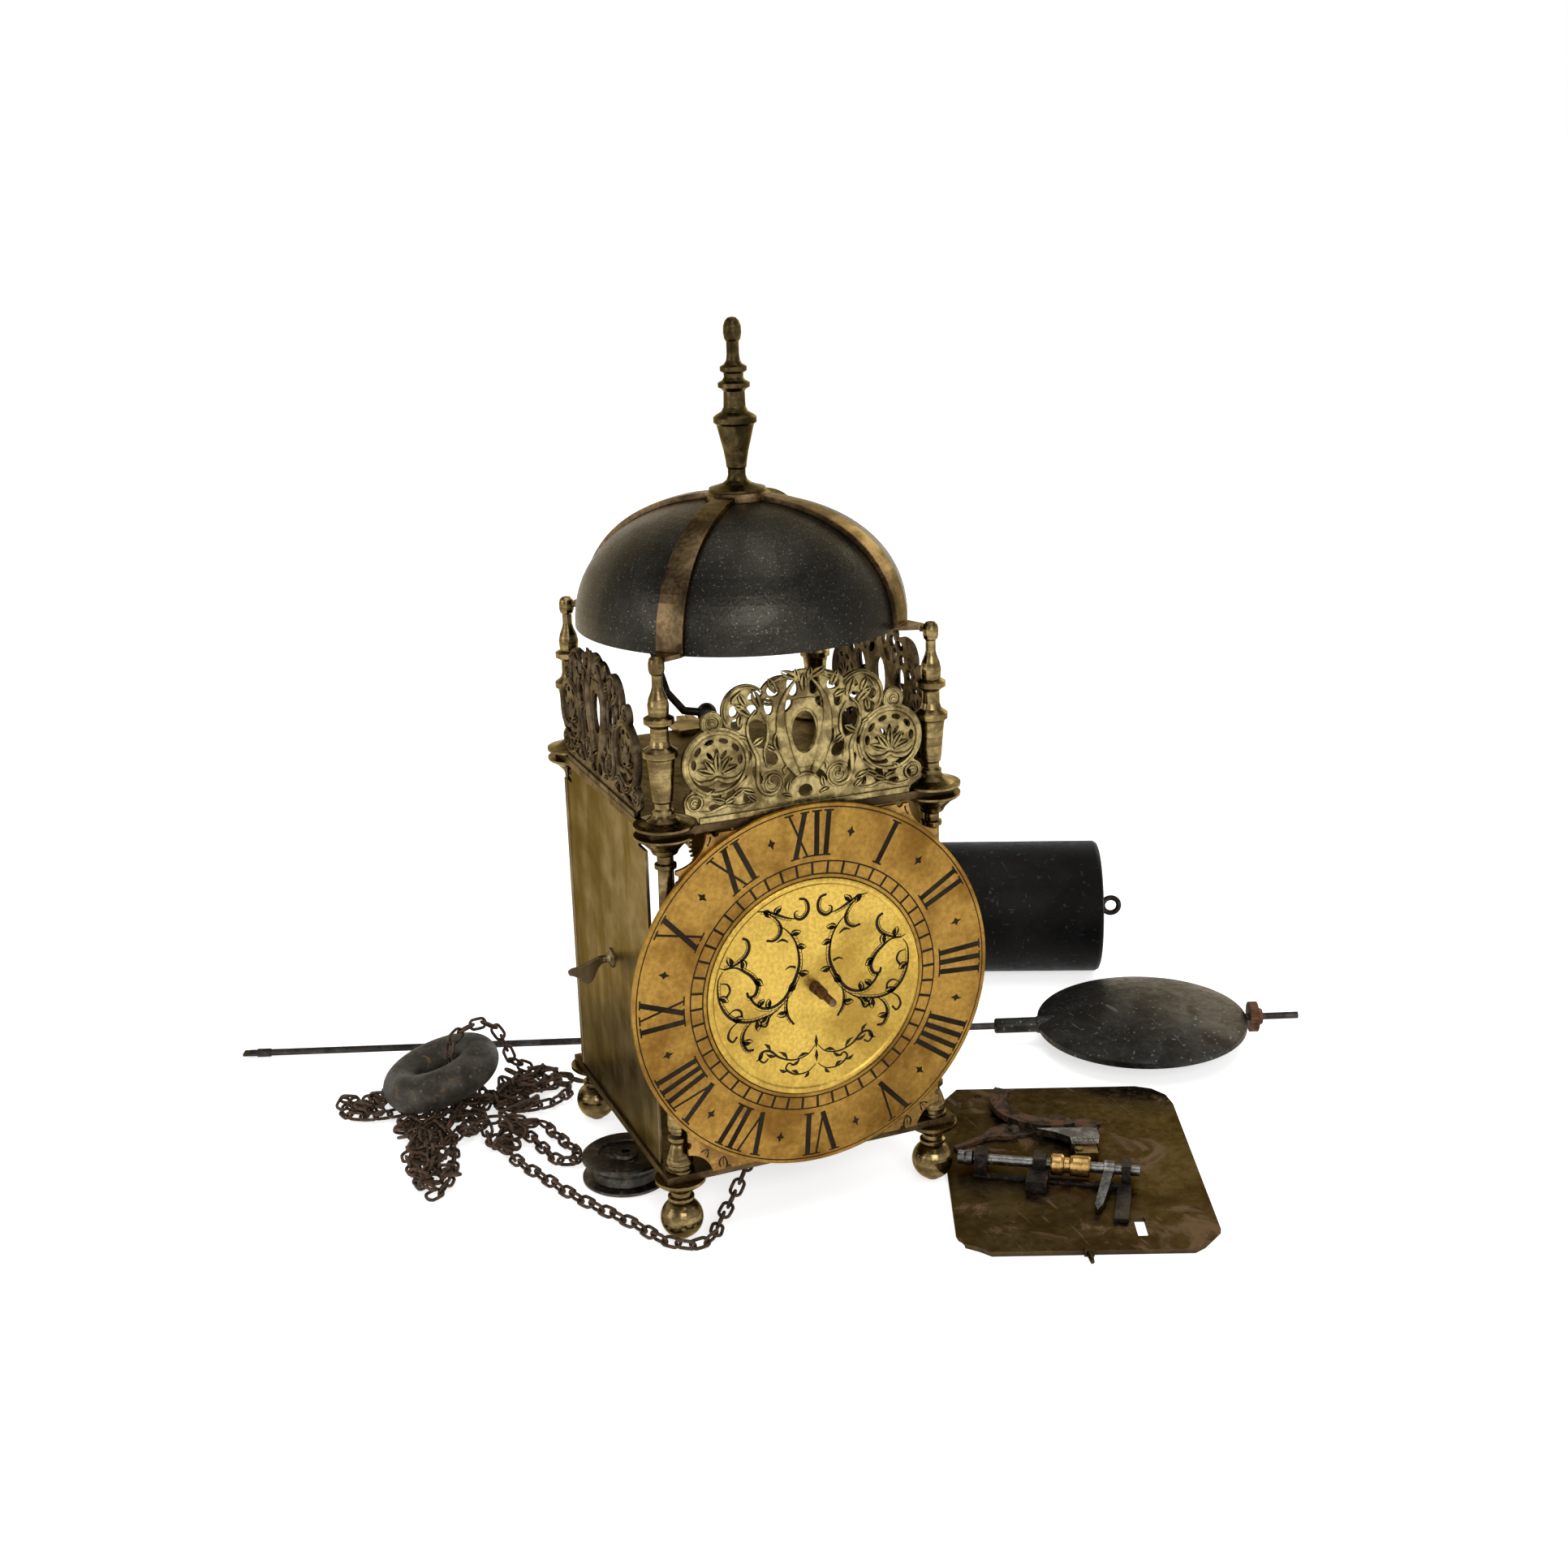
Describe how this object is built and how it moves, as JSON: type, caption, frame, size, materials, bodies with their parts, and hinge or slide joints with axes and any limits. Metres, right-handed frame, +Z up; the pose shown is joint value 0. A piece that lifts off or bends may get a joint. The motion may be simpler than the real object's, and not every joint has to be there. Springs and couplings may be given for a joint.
{
  "type": "lantern clock",
  "caption": "Posted brass wall clock with a bell over a square case, pierced frets, round numeral ring, doors and a geared movement, with its loose back plate, pendulum, weights and chain.",
  "frame": {"origin": "on the floor at the centre of the footprint of the whole set; the clock stands to the left and behind of it", "axes": "+Z up; -Y is the side the dial faces; +X to the right seen from the front"},
  "size_m": [0.5189, 0.386, 0.392],
  "materials": {
    "bottom_plate": "aged, dull",
    "top_plate": "aged, dull",
    "foot_front_left": "aged",
    "foot_front_right": "aged",
    "foot_rear_left": "aged",
    "foot_rear_right": "aged",
    "pillar_front_left": "aged",
    "pillar_front_right": "aged",
    "pillar_rear_left": "aged",
    "pillar_rear_right": "aged",
    "finial_front_left": "aged",
    "finial_front_right": "aged",
    "finial_rear_left": "aged",
    "finial_rear_right": "aged",
    "front_fret": "pale, dull",
    "left_fret": "dark, aged",
    "right_fret": "dark, aged",
    "bell": "dark patina",
    "bell_strap": "dark, worn edges",
    "bell_finial": "aged",
    "bell_nut": "dull",
    "dial_plate": "engraved, aged",
    "chapter_ring": "golden brown, engraved",
    "dial_centre": "bright, engraved",
    "hour_wheel": "aged",
    "left_door": "polished, aged",
    "right_door": "polished, aged",
    "front_bar": "dull",
    "middle_bar": "dull",
    "rear_bar": "dull",
    "going_great_wheel": "dull",
    "going_second_wheel": "dull",
    "escape_wheel": "dull",
    "anchor": "dark",
    "back_cock": "dull",
    "strike_great_wheel": "dull",
    "hoop_wheel": "dull",
    "warning_wheel": "dull",
    "fly": "dull",
    "count_wheel": "dull",
    "lifting_arbor": "dark",
    "hammer": "blackened",
    "hammer_spring": "dark",
    "back_plate": "dark, aged",
    "alarm_strap": "rusty",
    "alarm_cocks": "rusty",
    "alarm_arbor": "worn",
    "alarm_collets": "bright",
    "alarm_hammer": "worn",
    "alarm_block": "dull",
    "pendulum_rod": "blackened",
    "pendulum_bob": "dark",
    "rating_nut": "rusty",
    "driving_weight": "blackened",
    "weight_eye": "rusty",
    "ring_weight": "mottled lead",
    "chain_pulley": "dark",
    "chain_heap": "rusty",
    "chain_strand": "rusty",
    "chain_return": "rusty"
  },
  "bodies": {
    "frame": {"bottom_plate": "bottom_plate", "top_plate": "top_plate", "foot_front_left": "foot_front_left", "foot_front_right": "foot_front_right", "foot_rear_left": "foot_rear_left", "foot_rear_right": "foot_rear_right", "pillar_front_left": "pillar_front_left", "pillar_front_right": "pillar_front_right", "pillar_rear_left": "pillar_rear_left", "pillar_rear_right": "pillar_rear_right", "finial_front_left": "finial_front_left", "finial_front_right": "finial_front_right", "finial_rear_left": "finial_rear_left", "finial_rear_right": "finial_rear_right", "front_fret": "front_fret", "left_fret": "left_fret", "right_fret": "right_fret", "bell": "bell", "bell_strap": "bell_strap", "bell_finial": "bell_finial", "bell_nut": "bell_nut", "dial_plate": "dial_plate", "chapter_ring": "chapter_ring", "dial_centre": "dial_centre", "front_bar": "front_bar", "middle_bar": "middle_bar", "rear_bar": "rear_bar", "back_cock": "back_cock", "hammer_spring": "hammer_spring", "back_plate": "back_plate", "alarm_strap": "alarm_strap", "alarm_cocks": "alarm_cocks", "alarm_hammer": "alarm_hammer", "alarm_block": "alarm_block", "pendulum_rod": "pendulum_rod", "driving_weight": "driving_weight", "weight_eye": "weight_eye", "ring_weight": "ring_weight", "chain_pulley": "chain_pulley", "chain_heap": "chain_heap", "chain_strand": "chain_strand", "chain_return": "chain_return"},
    "left_door": {"left_door": "left_door"},
    "right_door": {"right_door": "right_door"},
    "hour_arbor": {"hour_wheel": "hour_wheel"},
    "going_great": {"going_great_wheel": "going_great_wheel"},
    "going_second": {"going_second_wheel": "going_second_wheel"},
    "escape": {"escape_wheel": "escape_wheel"},
    "anchor": {"anchor": "anchor"},
    "strike_great": {"strike_great_wheel": "strike_great_wheel"},
    "hoop": {"hoop_wheel": "hoop_wheel"},
    "warning": {"warning_wheel": "warning_wheel"},
    "fly": {"fly": "fly"},
    "count": {"count_wheel": "count_wheel"},
    "lifting": {"lifting_arbor": "lifting_arbor"},
    "hammer": {"hammer": "hammer"},
    "alarm": {"alarm_arbor": "alarm_arbor", "alarm_collets": "alarm_collets"},
    "bob": {"pendulum_bob": "pendulum_bob"},
    "nut": {"rating_nut": "rating_nut"}
  },
  "joints": [
    {"name": "left_door_hinge", "type": "hinge", "parent": "frame", "child": "left_door", "pos_m": [-0.1126, 0.0364, 0.11], "axis": [0, 0, 1], "range_deg": [-95, 0]},
    {"name": "right_door_hinge", "type": "hinge", "parent": "frame", "child": "right_door", "pos_m": [0.0236, 0.0364, 0.11], "axis": [0, 0, 1], "range_deg": [0, 95]},
    {"name": "going_great_spin", "type": "hinge", "parent": "frame", "child": "going_great", "pos_m": [-0.0445, -0.0211, 0.07], "axis": [0, 1, 0], "continuous": true},
    {"name": "going_second_spin", "type": "hinge", "parent": "frame", "child": "going_second", "pos_m": [-0.0445, -0.0211, 0.1091], "axis": [0, 1, 0], "continuous": true},
    {"name": "escape_spin", "type": "hinge", "parent": "frame", "child": "escape", "pos_m": [-0.0445, -0.0211, 0.1427], "axis": [0, 1, 0], "continuous": true},
    {"name": "hour_spin", "type": "hinge", "parent": "frame", "child": "hour_arbor", "pos_m": [-0.0445, -0.0211, 0.1123], "axis": [0, 1, 0], "continuous": true},
    {"name": "anchor_rock", "type": "hinge", "parent": "frame", "child": "anchor", "pos_m": [-0.0445, -0.0211, 0.17664], "axis": [0, 1, 0], "range_deg": [-1.5, 1.5]},
    {"name": "strike_great_spin", "type": "hinge", "parent": "frame", "child": "strike_great", "pos_m": [-0.0445, -0.0211, 0.07], "axis": [0, 1, 0], "continuous": true},
    {"name": "hoop_spin", "type": "hinge", "parent": "frame", "child": "hoop", "pos_m": [-0.0445, -0.0211, 0.1091], "axis": [0, 1, 0], "continuous": true},
    {"name": "warning_spin", "type": "hinge", "parent": "frame", "child": "warning", "pos_m": [-0.0445, -0.0211, 0.1427], "axis": [0, 1, 0], "continuous": true},
    {"name": "fly_spin", "type": "hinge", "parent": "frame", "child": "fly", "pos_m": [-0.0445, -0.0211, 0.1607], "axis": [0, 1, 0], "continuous": true},
    {"name": "count_spin", "type": "hinge", "parent": "frame", "child": "count", "pos_m": [-0.0445, -0.0211, 0.0966], "axis": [0, 1, 0], "continuous": true},
    {"name": "lifting_turn", "type": "hinge", "parent": "frame", "child": "lifting", "pos_m": [0.0015, -0.0211, 0.129], "axis": [0, 1, 0], "range_deg": [0, 6]},
    {"name": "hammer_swing", "type": "hinge", "parent": "frame", "child": "hammer", "pos_m": [-0.0555, -0.0011, 0.11], "axis": [0, 0, 1], "range_deg": [0, 25]},
    {"name": "alarm_turn", "type": "hinge", "parent": "frame", "child": "alarm", "pos_m": [0.02494, -0.08277, 0.0084], "axis": [0.8203, -0.5719, 0], "range_deg": [-60, 0]},
    {"name": "bob_slide", "type": "slide", "parent": "frame", "child": "bob", "axis": [0.9167, -0.3991, 0.0209], "range_m": [-0.008, 0]},
    {"name": "nut_turn", "type": "hinge", "parent": "frame", "child": "nut", "pos_m": [0.183, -0.0016, 0.01225], "axis": [0.9167, -0.3991, 0.0209], "continuous": true}
  ],
  "couplings": [
    {"joint": "going_second_spin", "follows": "going_great_spin", "ratio": -7.5},
    {"joint": "escape_spin", "follows": "going_great_spin", "ratio": 52.5},
    {"joint": "hour_spin", "follows": "going_great_spin", "ratio": -0.083333},
    {"joint": "hoop_spin", "follows": "strike_great_spin", "ratio": -7.5},
    {"joint": "warning_spin", "follows": "strike_great_spin", "ratio": 52.5},
    {"joint": "fly_spin", "follows": "strike_great_spin", "ratio": -262.5},
    {"joint": "count_spin", "follows": "strike_great_spin", "ratio": -0.16667}
  ]
}
